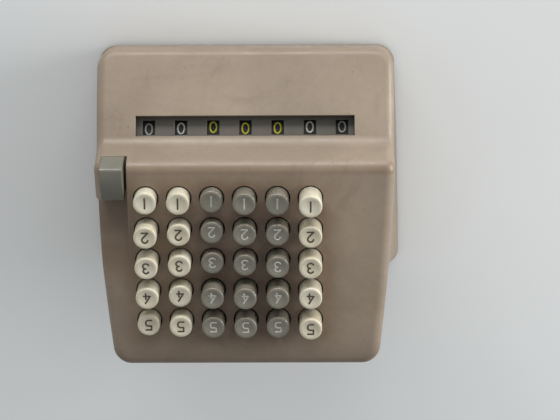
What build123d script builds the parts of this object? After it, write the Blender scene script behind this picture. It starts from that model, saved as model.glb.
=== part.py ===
"""Key-driven mechanical adding machine with six columns of five keys and seven number wheels.

Row frame, millimetres: +X is the operator's right, +Y the rear, +Z up. The rubber feet stand on Z = 0.
"""

import os
from math import cos, degrees, radians, sin, tan

from build123d import *

os.makedirs("parts", exist_ok=True)

# Keyboard
KEY_PITCH = 19.05
KEY_COLUMNS = 6
KEY_ROWS = 5
COLUMN_X = [KEY_PITCH * (3 - column) for column in range(KEY_COLUMNS)]
PANEL_SLOPE = 10.0
ROW_1_Y = -21.4
ROW_1_Z = 97.5
KEY_HOLE_RADIUS = 7.45
CAP_RADIUS = 6.65
CAP_LENGTH = 17.0
CAP_EDGE = 0.9
DISH_RADIUS = 5.0
DISH_DEPTH = 0.7
STEM_THICKNESS = 1.5
STEM_WIDTH = 5.0
# How far each key stands out of the panel at rest: one row for each column from the operator's
# right, digits 1 to 5
KEY_HEIGHTS = [
    [9.7, 15.0, 14.7, 14.0, 8.9],
    [10.5, 10.6, 11.0, 10.6, 11.3],
    [7.1, 6.9, 6.5, 14.2, 12.7],
    [11.6, 10.6, 10.0, 15.0, 13.4],
    [12.1, 11.1, 13.2, 14.5, 12.9],
    [16.1, 14.5, 14.8, 15.0, 15.8],
]

# Casing outline: side profile corners as (Y, Z), and half widths at three stations along Y
CASING_WALL = 2.5
CASING_BOTTOM = 3.0
FRONT_FOOT = (-75.6, CASING_BOTTOM)
NOSE = (-86.4, 32.9)
STEP_FOOT = (-42.4, 69.8)
STEP_EDGE = (-41.6, 93.94)
REAR_TOP = (85.1, 116.3)
REAR_FOOT = (82.0, CASING_BOTTOM)
REGISTER_SLOPE = 40.0
WIDTH_STATIONS = (-95.0, 0.0, 95.0)
BASE_HALF_WIDTHS = (87.8, 89.6, 90.2)
SKIRT_HALF_WIDTHS = (88.2, 93.5, 97.0)
SKIRT_TAPER = 25.0
SKIRT_HEIGHT = 17.0
TOP_HALF_WIDTHS = (87.6, 84.9, 77.6)
TOP_LEVEL = 113.0
LOFT_LEVELS = (-10.0, 130.0)
CORE_HALF_WIDTH = 110.0
# Cuts through a wall start this far outside it and run this far
CUT_ABOVE = 5.0
CUT_LENGTH = 12.0
STEP_FOOT_RADIUS = 10.0
STEP_EDGE_RADIUS = 6.6
FRONT_CORNER_RADIUS = 11.5
REAR_CORNER_RADIUS = 11.0
TOP_EDGE_RADIUS = 6.0

# Register window, and the number wheels behind it
WINDOW_HALF_LENGTH = 64.4
WINDOW_HEIGHT = 12.3
WINDOW_FROM_STEP = 10.8
WINDOW_FLARE = (1.3, 0.5)
WINDOW_FLARE_DEPTH = 1.4
WINDOW_COUNT = 7
MASK_DEPTH = 6.5
MASK_THICKNESS = 1.2
MASK_CELL = (7.3, 8.8)
MASK_SIZE = (129.6, 17.0)
WHEEL_RADIUS = 13.5
WHEEL_WIDTH = 8.6
WHEEL_RIM = 1.8
WHEEL_HUB_RADIUS = 5.5
WHEEL_WEB = 3.0
REGISTER_AXIS = (-36.4, 46.2)
REGISTER_SHAFT_RADIUS = 2.5
RUNNING_CLEARANCE = 0.06

# Column sectors: a toothed arc in mesh with the pinion of each column's number wheel
GEAR_MODULE = 1.0
PINION_TEETH = 19
SECTOR_TEETH = 190
PINION_PITCH_RADIUS = GEAR_MODULE * PINION_TEETH / 2
SECTOR_PITCH_RADIUS = GEAR_MODULE * SECTOR_TEETH / 2
ADDENDUM = 0.9
DEDENDUM = 1.2
TOOTH_HALF_WIDTHS = (0.85, 0.3)
SECTOR_FIRST_TOOTH = -2
SECTOR_LAST_TOOTH = 10
SECTOR_AXIS = (67.82, 38.0)
MESH_ANGLE = 4.5
SECTOR_SHAFT_RADIUS = 3.0
SECTOR_HUB_RADIUS = 6.0
SECTOR_ARM_HEIGHT = 8.0
SECTOR_RIM_DEPTH = 7.0
SECTOR_THICKNESS = 1.5
SECTOR_HUB_LENGTH = 6.0
SECTOR_OFFSET = -6.5
PINION_REACH = 3.2

# Guide plates, as depths below the key panel
UPPER_GUIDE_DEPTH = 17.2
LOWER_GUIDE_DEPTH = 50.0
UPPER_GUIDE_START = -9.0
LOWER_GUIDE_START = 9.0
GUIDE_END = 90.0
GUIDE_THICKNESS = 1.5
GUIDE_CLEARANCE = 0.3
STEM_END_DEPTH = 54.0
FIRST_ROW_STEM_END = 34.0
TOE_Y = (39.0, 42.0)
TOE_BOTTOM = 45.0
TOE_BAR_DEPTHS = (52.3, 56.3)
SPRING_RADII = (4.6, 3.4)
SPRING_GAP = 0.2

# Inner frame
FRAME_X = 66.0
FRAME_THICKNESS = 2.0
BASE_PLATE_BOTTOM = 3.4
BASE_PLATE_THICKNESS = 1.5
BASE_PLATE_CORNERS = ((84.0, -71.0), (90.5, 77.5), (-90.5, 77.5), (-84.0, -71.0))
BASE_PLATE_CORNER_RADIUS = 9.0
FRAME_BOTTOM = BASE_PLATE_BOTTOM + BASE_PLATE_THICKNESS
FRAME_TOP_DEPTH = 17.0
FRAME_ENDS = (-50.0, 76.0)
FRAME_FRONT_TOP = 50.0
FRAME_CUTOUTS = ((10.0, 22.0, 60.0, 18.0), (20.0, 62.0, 50.0, 20.0))
TIE_ROD_RADIUS = 2.5
TIE_ROD_POSITIONS = ((-44.0, 14.0), (70.0, 14.0))
FOOT_POSITIONS = ((74.0, -58.0), (-74.0, -58.0), (78.0, 64.0), (-78.0, 64.0))
FOOT_RADIUS = 7.0
SCREW_SHANK_RADIUS = 2.0
SCREW_SHANK_LENGTH = 9.0
SCREW_HEAD_RADIUS = 3.8
SCREW_HEAD_HEIGHT = 1.4
SCREW_SLOT = (0.9, 0.7)
SCREW_RECESS_DEPTH = 2.2
BOSS_RADIUS = 4.5
BOSS_HEIGHT = 14.0
BOSS_WEB = 3.0

# Clear lever in its recess at the operator's right
RECESS_X = (67.9, 83.1)
RECESS_FLOOR = 84.0
POCKET_SIZE = (40.0, 50.0)
SCOOP_START_Y = -20.0
SCOOP_END_Y = 21.0
SCOOP_FALL = 0.35
SCOOP_REACH = 80.0
LEVER_X = (69.6, 82.8)
LEVER_ARM_X = (73.6, 78.4)
LEVER_ARM_SLOT_X = (72.8, 79.2)
LEVER_ARM_SLOT_Y = (-39.0, -20.4)
LEVER_BOSS_RADIUS = 8.0
LEVER_ARM = ((-40.4, 46.2), (-30.4, 46.2), (-21.0, 80.0), (-21.0, 90.0), (-28.0, 90.0), (-28.0, 80.0))
LEVER_HEAD_RADII = (2.0, 24.0, 1.5)
LEVER_HEAD = ((-42.4, 84.7), (-42.4, 101.0), (-32.0, 102.8), (-19.9, 97.6), (-19.9, 84.7))


def panel_point(along, depth):
    """(Y, Z) of a point this far behind row 1 along the key panel and this deep under it."""
    slope = radians(PANEL_SLOPE)
    y = ROW_1_Y + along * cos(slope) + depth * sin(slope)
    return y, ROW_1_Z + along * sin(slope) - depth * cos(slope)


def under_panel(y, depth):
    """(Y, Z) of the point at this Y that lies this deep under the key panel."""
    slope = radians(PANEL_SLOPE)
    return y, ROW_1_Z + (y - ROW_1_Y) * tan(slope) - depth / cos(slope)


def panel_plane(x, along, depth):
    """Plane parallel to the key panel: its normal points out, its second direction to the rear."""
    y, z = panel_point(along, depth)
    slope = radians(PANEL_SLOPE)
    return Plane(origin=(x, y, z), x_dir=(1, 0, 0), z_dir=(0, -sin(slope), cos(slope)))


def register_plane(depth):
    """Plane parallel to the register panel through the window's centre, this deep under it."""
    slope = radians(REGISTER_SLOPE)
    y = STEP_FOOT[0] - WINDOW_FROM_STEP * cos(slope) + depth * sin(slope)
    z = STEP_FOOT[1] - WINDOW_FROM_STEP * sin(slope) - depth * cos(slope)
    return Plane(origin=(0, y, z), x_dir=(1, 0, 0), z_dir=(0, -sin(slope), cos(slope)))


def polar(centre, radius, angle):
    """(Y, Z) at this radius from the centre, the angle counted from the front towards the top."""
    return (
        centre[0] - radius * cos(radians(angle)),
        centre[1] + radius * sin(radians(angle)),
    )


def half_width(station, level):
    """Half width of the casing's side walls at one station, drafted in a straight line."""
    share = (level - CASING_BOTTOM) / (TOP_LEVEL - CASING_BOTTOM)
    base = BASE_HALF_WIDTHS[station]
    return base + (TOP_HALF_WIDTHS[station] - base) * share


def body_shape(inset, bottom):
    """The casing's outer form moved inwards by a wall thickness, with its bottom at this level."""
    front_lean = (NOSE[0] - FRONT_FOOT[0]) / (NOSE[1] - FRONT_FOOT[1])
    rear_lean = (REAR_TOP[0] - REAR_FOOT[0]) / (REAR_TOP[1] - REAR_FOOT[1])
    drop = CASING_BOTTOM - bottom
    outline = [
        (FRONT_FOOT[0] - front_lean * drop, bottom),
        NOSE,
        STEP_FOOT,
        STEP_EDGE,
        REAR_TOP,
        (REAR_FOOT[0] - rear_lean * drop, bottom),
    ]
    with BuildPart() as shape:
        with BuildSketch(Plane.YZ) as profile:
            with BuildLine():
                Polyline(*outline, close=True)
            make_face()
            if inset:
                offset(amount=-inset, kind=Kind.INTERSECTION, mode=Mode.REPLACE)
            corners = profile.vertices().sort_by_distance((*STEP_FOOT, 0))
            fillet(corners[0], STEP_FOOT_RADIUS + inset)
            corners = profile.vertices().sort_by_distance((*STEP_EDGE, 0))
            fillet(corners[0], STEP_EDGE_RADIUS - inset)
        extrude(amount=CORE_HALF_WIDTH, both=True)
        side_walls = []
        for level in LOFT_LEVELS:
            with BuildSketch(Plane.XY.offset(level), mode=Mode.PRIVATE) as outline_at_level:
                right = [(half_width(i, level) - inset, WIDTH_STATIONS[i]) for i in range(3)]
                left = [(-x, y) for x, y in reversed(right)]
                with BuildLine():
                    ThreePointArc(*right)
                    Line(right[2], left[0])
                    ThreePointArc(*left)
                    Line(left[2], right[0])
                make_face()
            side_walls.append(outline_at_level.sketch)
        loft(side_walls, ruled=True, mode=Mode.INTERSECT)
        fillet(wall_corners(shape)[-2:], REAR_CORNER_RADIUS - inset)
        fillet(wall_corners(shape)[:2], FRONT_CORNER_RADIUS - inset)
        fillet(top_loop(shape), TOP_EDGE_RADIUS - inset)
    return shape.part


def skirt(inset):
    """The flare round the foot of the casing, moved inwards by a wall thickness."""
    with BuildPart() as flare:
        with BuildSketch(Plane.XY.offset(CASING_BOTTOM)) as outline:
            half_widths = zip(WIDTH_STATIONS, SKIRT_HALF_WIDTHS)
            right = [(half - inset, station) for station, half in half_widths]
            left = [(-x, y) for x, y in reversed(right)]
            with BuildLine():
                ThreePointArc(*right)
                Line(right[2], left[0])
                ThreePointArc(*left)
                Line(left[2], right[0])
            make_face()
            with Locations((0, (FRONT_FOOT[0] + REAR_FOOT[0]) / 2)):
                Rectangle(2 * CORE_HALF_WIDTH, REAR_FOOT[0] - FRONT_FOOT[0] - 2 * inset, mode=Mode.INTERSECT)
            corners = outline.vertices().sort_by(Axis.Y)
            fillet(corners[-2:], REAR_CORNER_RADIUS - inset)
            corners = outline.vertices().sort_by(Axis.Y)
            fillet(corners[:2], FRONT_CORNER_RADIUS - inset)
        extrude(amount=SKIRT_HEIGHT, taper=SKIRT_TAPER)
    return flare.part


def wall_corners(shape):
    """Edges that rise from the bottom where two walls meet, the front ones first."""
    corners = ShapeList()
    bottom = shape.part.bounding_box().min.Z
    for edge in shape.edges():
        box = edge.bounding_box()
        slim = box.size.X < 20 and box.size.Y < 20
        if slim and box.size.Z > 20 and abs(box.min.Z - bottom) < 1:
            corners.append(edge)
    return corners.sort_by(Axis.Y)


def top_loop(shape):
    """The closed loop of edges between the upper faces and the walls all round."""
    upper = [face for face in shape.faces() if face.bounding_box().size.X > 100]
    edges = [edge for face in upper if face.normal_at().Z > 0.01 for edge in face.edges()]
    return [edge for edge in edges if sum(edge.is_same(other) for other in edges) == 1]


def is_foot_rim(edge):
    """True for the outer rim at the bottom of a rubber foot."""
    return abs(edge.radius - FOOT_RADIUS) < 0.1 and edge.center().Z < 0.1


def finish(part, name):
    """Labels one piece and writes it."""
    part.label = name
    export_step(part, f"parts/{name}.step")


# Casing: a painted shell, open underneath, with the lever recess let into its top at the right
outer_body = body_shape(0, CASING_BOTTOM)
outer_skirt = skirt(0)
inner_body = body_shape(CASING_WALL, CASING_BOTTOM - CUT_LENGTH)
inner_skirt = skirt(CASING_WALL / cos(radians(SKIRT_TAPER)))
scoop_rise = under_panel(SCOOP_END_Y, 0)[1] - RECESS_FLOOR
scoop_slope = scoop_rise / (SCOOP_END_Y - SCOOP_START_Y)


def recess_block(x_range, floor_drop):
    """Space of the lever pocket and of the scoop behind it, which falls outwards through the side."""
    floor = RECESS_FLOOR - floor_drop
    with BuildPart() as block:
        with BuildSketch(Plane.YZ.offset(x_range[0])):
            with Locations((SCOOP_START_Y, floor)):
                Rectangle(*POCKET_SIZE, align=(Align.MAX, Align.MIN))
        extrude(amount=x_range[1] - x_range[0])
        with BuildSketch(Plane.YZ.offset(x_range[0])):
            with BuildLine():
                Polyline(
                    (SCOOP_START_Y, floor),
                    (SCOOP_START_Y + SCOOP_REACH, floor + scoop_slope * SCOOP_REACH),
                    (SCOOP_START_Y, floor + scoop_slope * SCOOP_REACH),
                    close=True,
                )
            make_face()
        extrude(amount=SCOOP_REACH, dir=(1, 0, -SCOOP_FALL))
    return block.part


recess = recess_block(RECESS_X, 0)
recess_walls = recess_block((RECESS_X[0] - CASING_WALL, CORE_HALF_WIDTH), CASING_WALL)

with BuildPart() as outer_form:
    add(outer_body)
    add(outer_skirt)

with BuildPart() as hollow:
    add(inner_body)
    add(inner_skirt)
    add(recess_walls, mode=Mode.SUBTRACT)

# Bosses that take the foot screws, each webbed to the side wall next to it
with BuildPart() as bosses:
    with BuildSketch(Plane.XY.offset(FRAME_BOTTOM)):
        for foot_x, foot_y in FOOT_POSITIONS:
            with Locations((foot_x, foot_y)):
                Circle(BOSS_RADIUS)
            with Locations((1.2 * foot_x, foot_y)):
                Rectangle(0.4 * abs(foot_x), BOSS_WEB)
        with Locations(FOOT_POSITIONS):
            Circle(SCREW_SHANK_RADIUS, mode=Mode.SUBTRACT)
    extrude(amount=BOSS_HEIGHT)
    add(outer_form.part, mode=Mode.INTERSECT)

with BuildPart() as casing:
    add(outer_form.part)
    add(hollow.part, mode=Mode.SUBTRACT)
    add(bosses.part)
    add(recess, mode=Mode.SUBTRACT)
    for column_x in COLUMN_X:
        for row in range(KEY_ROWS):
            with BuildSketch(panel_plane(column_x, row * KEY_PITCH, 0).offset(CUT_ABOVE)):
                Circle(KEY_HOLE_RADIUS)
            extrude(amount=-CUT_LENGTH, mode=Mode.SUBTRACT)
    with BuildSketch(register_plane(0).offset(CUT_ABOVE)):
        Rectangle(2 * WINDOW_HALF_LENGTH, WINDOW_HEIGHT)
    extrude(amount=-CUT_LENGTH, mode=Mode.SUBTRACT)
    with BuildSketch(register_plane(0)):
        Rectangle(
            2 * (WINDOW_HALF_LENGTH + WINDOW_FLARE[0]),
            WINDOW_HEIGHT + 2 * WINDOW_FLARE[1],
        )
    with BuildSketch(register_plane(WINDOW_FLARE_DEPTH)):
        Rectangle(2 * WINDOW_HALF_LENGTH, WINDOW_HEIGHT)
    loft(mode=Mode.SUBTRACT)
    with BuildSketch(Plane.XY.offset(RECESS_FLOOR + CUT_ABOVE)):
        with Locations((sum(LEVER_ARM_SLOT_X) / 2, sum(LEVER_ARM_SLOT_Y) / 2)):
            Rectangle(
                LEVER_ARM_SLOT_X[1] - LEVER_ARM_SLOT_X[0],
                LEVER_ARM_SLOT_Y[1] - LEVER_ARM_SLOT_Y[0],
            )
    extrude(amount=-CUT_LENGTH, mode=Mode.SUBTRACT)
finish(casing.part, "casing")

# Base plate, feet and their screws
with BuildPart() as base_plate:
    with BuildSketch(Plane.XY.offset(BASE_PLATE_BOTTOM)):
        with BuildLine():
            Polyline(*BASE_PLATE_CORNERS, close=True)
        make_face()
        fillet(vertices(), BASE_PLATE_CORNER_RADIUS)
        with Locations(FOOT_POSITIONS):
            Circle(SCREW_SHANK_RADIUS + 0.1, mode=Mode.SUBTRACT)
    extrude(amount=BASE_PLATE_THICKNESS)
finish(base_plate.part, "base_plate")

with BuildPart() as rubber_feet:
    with BuildSketch():
        with Locations(FOOT_POSITIONS):
            Circle(FOOT_RADIUS)
            Circle(SCREW_SHANK_RADIUS + 0.1, mode=Mode.SUBTRACT)
    extrude(amount=BASE_PLATE_BOTTOM)
    with BuildSketch():
        with Locations(FOOT_POSITIONS):
            Circle(SCREW_HEAD_RADIUS + 0.4)
    extrude(amount=SCREW_RECESS_DEPTH, mode=Mode.SUBTRACT)
    chamfer(rubber_feet.faces().sort_by(Axis.Z)[:4].edges().filter_by(is_foot_rim), 0.8)
finish(rubber_feet.part, "rubber_feet")

with BuildPart() as foot_screws:
    with BuildSketch(Plane.XY.offset(SCREW_RECESS_DEPTH)):
        with Locations(FOOT_POSITIONS):
            Circle(SCREW_SHANK_RADIUS)
    extrude(amount=SCREW_SHANK_LENGTH)
    with BuildSketch(Plane.XY.offset(SCREW_RECESS_DEPTH)):
        with Locations(FOOT_POSITIONS):
            Circle(SCREW_HEAD_RADIUS)
    extrude(amount=-SCREW_HEAD_HEIGHT)
    with BuildSketch(Plane.XY.offset(SCREW_RECESS_DEPTH - SCREW_HEAD_HEIGHT)):
        with Locations(FOOT_POSITIONS):
            Rectangle(3 * SCREW_HEAD_RADIUS, SCREW_SLOT[0], rotation=30)
    extrude(amount=SCREW_SLOT[1], mode=Mode.SUBTRACT)
finish(foot_screws.part, "foot_screws")

# Side frames, tie rods and their screws
frame_outline = [
    (FRAME_ENDS[0], FRAME_BOTTOM),
    (FRAME_ENDS[1], FRAME_BOTTOM),
    panel_point(GUIDE_END + 2, FRAME_TOP_DEPTH),
    panel_point(UPPER_GUIDE_START - 5, FRAME_TOP_DEPTH),
    (FRAME_ENDS[0], FRAME_FRONT_TOP),
]
for name, middle_x in (("left_frame", -FRAME_X), ("right_frame", FRAME_X)):
    with BuildPart() as side_frame:
        with BuildSketch(Plane.YZ.offset(middle_x)):
            with BuildLine():
                Polyline(*frame_outline, close=True)
            make_face()
            with Locations(REGISTER_AXIS):
                Circle(REGISTER_SHAFT_RADIUS + RUNNING_CLEARANCE, mode=Mode.SUBTRACT)
            with Locations(SECTOR_AXIS):
                Circle(SECTOR_SHAFT_RADIUS, mode=Mode.SUBTRACT)
            for y, z, length, height in FRAME_CUTOUTS:
                with Locations((y, z)):
                    Rectangle(length, height, mode=Mode.SUBTRACT)
        extrude(amount=FRAME_THICKNESS / 2, both=True)
    finish(side_frame.part, name)

inner_x = FRAME_X - FRAME_THICKNESS / 2
outer_x = FRAME_X + FRAME_THICKNESS / 2
with BuildPart() as tie_rods:
    with BuildSketch(Plane.YZ.offset(-inner_x)):
        with Locations(TIE_ROD_POSITIONS):
            Circle(TIE_ROD_RADIUS)
    extrude(amount=2 * inner_x)
finish(tie_rods.part, "tie_rods")

with BuildPart() as frame_screws:
    for side in (-1, 1):
        with BuildSketch(Plane.YZ.offset(side * outer_x)):
            with Locations(TIE_ROD_POSITIONS):
                Circle(SCREW_HEAD_RADIUS)
        extrude(amount=side * SCREW_HEAD_HEIGHT)
        with BuildSketch(Plane.YZ.offset(side * (outer_x + SCREW_HEAD_HEIGHT))):
            with Locations(TIE_ROD_POSITIONS):
                Rectangle(3 * SCREW_HEAD_RADIUS, SCREW_SLOT[0], rotation=20)
        extrude(amount=-side * SCREW_SLOT[1], mode=Mode.SUBTRACT)
finish(frame_screws.part, "frame_screws")

with BuildPart() as sector_shaft:
    with BuildSketch(Plane.YZ.offset(-outer_x)):
        with Locations(SECTOR_AXIS):
            Circle(SECTOR_SHAFT_RADIUS)
    extrude(amount=2 * outer_x)
finish(sector_shaft.part, "sector_shaft")


# Guide plates that hold the key stems upright
def guide_plate(depth, start, first_row, name):
    """A slotted plate parallel to the key panel between the side frames."""
    with BuildPart() as plate:
        with BuildSketch(panel_plane(0, (start + GUIDE_END) / 2, depth)):
            Rectangle(2 * inner_x, GUIDE_END - start)
        extrude(amount=-GUIDE_THICKNESS)
        for x in COLUMN_X:
            for row in range(first_row, KEY_ROWS):
                with BuildSketch(panel_plane(x, row * KEY_PITCH, depth).offset(1)):
                    width = STEM_THICKNESS + 2 * GUIDE_CLEARANCE
                    Rectangle(width, STEM_WIDTH + 2 * GUIDE_CLEARANCE)
                extrude(amount=-GUIDE_THICKNESS - 2, mode=Mode.SUBTRACT)
    finish(plate.part, name)


guide_plate(UPPER_GUIDE_DEPTH, UPPER_GUIDE_START, 0, "upper_guide_plate")
guide_plate(LOWER_GUIDE_DEPTH, LOWER_GUIDE_START, 1, "lower_guide_plate")


# Keys: a dished cap on a flat stem, and on the 5 keys a foot that reaches forward to the sector
def key(x, row, height):
    """One key at rest, standing this far out of the panel."""
    along = row * KEY_PITCH
    top = panel_plane(x, along, -height)
    dish_sphere = (DISH_RADIUS**2 + DISH_DEPTH**2) / (2 * DISH_DEPTH)
    stem_end = STEM_END_DEPTH if row else FIRST_ROW_STEM_END
    with BuildPart() as piece:
        with BuildSketch(top):
            Circle(CAP_RADIUS)
        extrude(amount=-CAP_LENGTH)
        fillet(piece.faces().sort_by(Axis.Z)[-1].edges(), CAP_EDGE)
        with Locations(top.offset(dish_sphere - DISH_DEPTH)):
            Sphere(dish_sphere, mode=Mode.SUBTRACT)
        with BuildSketch(top.offset(-CAP_LENGTH + 1)):
            Rectangle(STEM_THICKNESS, STEM_WIDTH)
        extrude(amount=-(stem_end + height - CAP_LENGTH + 1))
        if row == KEY_ROWS - 1:
            bar_top, bar_bottom = TOE_BAR_DEPTHS
            bar_end = along + STEM_WIDTH / 2
            with BuildSketch(Plane.YZ.offset(x + SECTOR_OFFSET - SECTOR_THICKNESS / 2)):
                with BuildLine():
                    Polyline(
                        panel_point(bar_end, bar_top),
                        panel_point(bar_end, bar_bottom),
                        under_panel(TOE_Y[1], bar_bottom),
                        (TOE_Y[1], TOE_BOTTOM),
                        (TOE_Y[0], TOE_BOTTOM),
                        under_panel(TOE_Y[0], bar_top),
                        close=True,
                    )
                make_face()
            extrude(amount=SECTOR_THICKNESS)
            with BuildSketch(panel_plane(x + SECTOR_OFFSET / 2, along, bar_top)):
                Rectangle(STEM_THICKNESS - SECTOR_OFFSET, STEM_WIDTH)
            extrude(amount=bar_top - bar_bottom)
    return piece.part


for column, x in enumerate(COLUMN_X):
    for row in range(KEY_ROWS):
        name = f"key_column{column + 1}_digit{row + 1}"
        finish(key(x, row, KEY_HEIGHTS[column][row]), name)

# Return springs, each round its stem between the upper guide plate and the cap
with BuildPart() as key_springs:
    for column, x in enumerate(COLUMN_X):
        for row in range(KEY_ROWS):
            cap_bottom = CAP_LENGTH - KEY_HEIGHTS[column][row]
            with BuildSketch(panel_plane(x, row * KEY_PITCH, UPPER_GUIDE_DEPTH)):
                Circle(SPRING_RADII[0])
                Circle(SPRING_RADII[1], mode=Mode.SUBTRACT)
            extrude(amount=UPPER_GUIDE_DEPTH - cap_bottom - SPRING_GAP)
finish(key_springs.part, "key_springs")


# Gear teeth as plain trapezoids with wide backlash
def tooth(centre, pitch_radius, angle):
    """Corners of one tooth that points away from the centre."""
    root_half, tip_half = TOOTH_HALF_WIDTHS
    root = pitch_radius - DEDENDUM - 0.2
    tip = pitch_radius + ADDENDUM
    corners = []
    for radius, half in ((root, -root_half), (tip, -tip_half), (tip, tip_half), (root, root_half)):
        corners.append(polar(centre, radius, angle + degrees(half / radius)))
    return corners


with BuildSketch() as pinion_profile:
    with Locations(REGISTER_AXIS):
        Circle(PINION_PITCH_RADIUS - DEDENDUM)
    for index in range(PINION_TEETH):
        step = 360 / PINION_TEETH
        with BuildLine():
            toward_sector = 180 + MESH_ANGLE + (index + 0.5) * step
            Polyline(*tooth(REGISTER_AXIS, PINION_PITCH_RADIUS, toward_sector), close=True)
        make_face()

with BuildSketch() as sector_profile:
    step = 360 / SECTOR_TEETH
    first = MESH_ANGLE + (SECTOR_FIRST_TOOTH - 0.5) * step
    last = MESH_ANGLE + (SECTOR_LAST_TOOTH + 0.5) * step
    rim = SECTOR_PITCH_RADIUS - DEDENDUM
    inner = rim - SECTOR_RIM_DEPTH
    with BuildLine():
        middle = (first + last) / 2
        ThreePointArc(*[polar(SECTOR_AXIS, rim, angle) for angle in (first, middle, last)])
        Line(polar(SECTOR_AXIS, rim, last), polar(SECTOR_AXIS, inner, last))
        ThreePointArc(*[polar(SECTOR_AXIS, inner, angle) for angle in (last, middle, first)])
        Line(polar(SECTOR_AXIS, inner, first), polar(SECTOR_AXIS, rim, first))
    make_face()
    for index in range(SECTOR_FIRST_TOOTH, SECTOR_LAST_TOOTH + 1):
        with BuildLine():
            angle = MESH_ANGLE + index * step
            Polyline(*tooth(SECTOR_AXIS, SECTOR_PITCH_RADIUS, angle), close=True)
        make_face()
    arm_middle = polar(SECTOR_AXIS, (inner + 1) / 2, MESH_ANGLE)
    with Locations(arm_middle):
        Rectangle(inner + 1, SECTOR_ARM_HEIGHT, rotation=-MESH_ANGLE)
    with Locations(SECTOR_AXIS):
        Circle(SECTOR_HUB_RADIUS)
        Circle(SECTOR_SHAFT_RADIUS + RUNNING_CLEARANCE, mode=Mode.SUBTRACT)

for column, x in enumerate(COLUMN_X):
    with BuildPart() as sector:
        plate_x = x + SECTOR_OFFSET
        with BuildSketch(Plane.YZ.offset(plate_x - SECTOR_THICKNESS / 2)):
            add(sector_profile.sketch)
        extrude(amount=SECTOR_THICKNESS)
        with BuildSketch(Plane.YZ.offset(plate_x - SECTOR_HUB_LENGTH / 2)):
            with Locations(SECTOR_AXIS):
                Circle(SECTOR_HUB_RADIUS)
                Circle(SECTOR_SHAFT_RADIUS + RUNNING_CLEARANCE, mode=Mode.SUBTRACT)
        extrude(amount=SECTOR_HUB_LENGTH)
    finish(sector.part, f"sector_column{column + 1}")

# Number wheels: a drum, and on the six driven ones a pinion on its left
for wheel in range(WINDOW_COUNT):
    x = KEY_PITCH * (3 - wheel)
    with BuildPart() as number_wheel:
        with BuildSketch(Plane.YZ.offset(x - WHEEL_WIDTH / 2)):
            with Locations(REGISTER_AXIS):
                Circle(WHEEL_RADIUS)
        extrude(amount=WHEEL_WIDTH)
        for side in (-1, 1):
            with BuildSketch(Plane.YZ.offset(x + side * WHEEL_WIDTH / 2)):
                with Locations(REGISTER_AXIS):
                    Circle(WHEEL_RADIUS - WHEEL_RIM)
                    Circle(WHEEL_HUB_RADIUS, mode=Mode.SUBTRACT)
            extrude(amount=-side * (WHEEL_WIDTH - WHEEL_WEB) / 2, mode=Mode.SUBTRACT)
        if wheel < KEY_COLUMNS:
            with BuildSketch(Plane.YZ.offset(x - WHEEL_WEB / 2)):
                add(pinion_profile.sketch)
            extrude(amount=-(WHEEL_WIDTH - WHEEL_WEB) / 2 - PINION_REACH)
        with BuildSketch(Plane.YZ.offset(x)):
            with Locations(REGISTER_AXIS):
                Circle(REGISTER_SHAFT_RADIUS + RUNNING_CLEARANCE)
        extrude(amount=WHEEL_WIDTH + PINION_REACH, both=True, mode=Mode.SUBTRACT)
    finish(number_wheel.part, f"number_wheel_{wheel + 1}")

# Window mask: a thin plate close over the wheels, with a cell for each digit
with BuildPart() as window_mask:
    with BuildSketch(register_plane(MASK_DEPTH)):
        Rectangle(*MASK_SIZE)
        with Locations(*[(KEY_PITCH * (3 - wheel), -0.4) for wheel in range(WINDOW_COUNT)]):
            Rectangle(*MASK_CELL, mode=Mode.SUBTRACT)
    extrude(amount=-MASK_THICKNESS)
finish(window_mask.part, "window_mask")

# Register shaft and the clear lever fixed on its right-hand end
with BuildPart() as register_shaft:
    with BuildSketch(Plane.YZ.offset(-outer_x - 1)):
        with Locations(REGISTER_AXIS):
            Circle(REGISTER_SHAFT_RADIUS)
    extrude(amount=outer_x + 1 + LEVER_ARM_X[1])
finish(register_shaft.part, "register_shaft")

with BuildPart() as clear_lever:
    with BuildSketch(Plane.YZ.offset(LEVER_X[0])) as head_profile:
        with BuildLine():
            Polyline(*LEVER_HEAD, close=True)
        make_face()
        for corner, radius in zip(LEVER_HEAD[1:4], LEVER_HEAD_RADII):
            fillet(head_profile.vertices().sort_by_distance((*corner, 0))[0], radius)
    extrude(amount=LEVER_X[1] - LEVER_X[0])
    with BuildSketch(Plane.YZ.offset(LEVER_ARM_X[0])):
        with BuildLine():
            Polyline(*LEVER_ARM, close=True)
        make_face()
        with Locations(REGISTER_AXIS):
            Circle(LEVER_BOSS_RADIUS)
            Circle(REGISTER_SHAFT_RADIUS, mode=Mode.SUBTRACT)
    extrude(amount=LEVER_ARM_X[1] - LEVER_ARM_X[0])
finish(clear_lever.part, "clear_lever")
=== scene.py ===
"""Looks of a key-driven adding machine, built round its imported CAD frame. Metres; +Z up, operator at -Y."""

import math

import bmesh
import bpy
from mathutils import Matrix, Vector


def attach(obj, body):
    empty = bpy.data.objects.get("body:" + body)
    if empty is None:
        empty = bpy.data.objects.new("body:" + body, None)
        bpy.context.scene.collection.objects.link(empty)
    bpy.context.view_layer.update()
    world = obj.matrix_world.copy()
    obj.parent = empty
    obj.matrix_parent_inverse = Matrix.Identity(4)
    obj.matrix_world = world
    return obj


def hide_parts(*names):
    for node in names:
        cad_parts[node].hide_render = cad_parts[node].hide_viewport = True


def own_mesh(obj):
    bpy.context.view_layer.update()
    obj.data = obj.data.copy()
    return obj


bl_info = {
    "name": "Adding Machine",
    "version": (1, 0, 0),
    "blender": (4, 5, 0),
    "location": "3D View > Sidebar > Adding Machine",
    "description": "Builds the shell, keys, number wheels and stage of a desk adding machine",
    "category": "Object",
}

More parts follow.
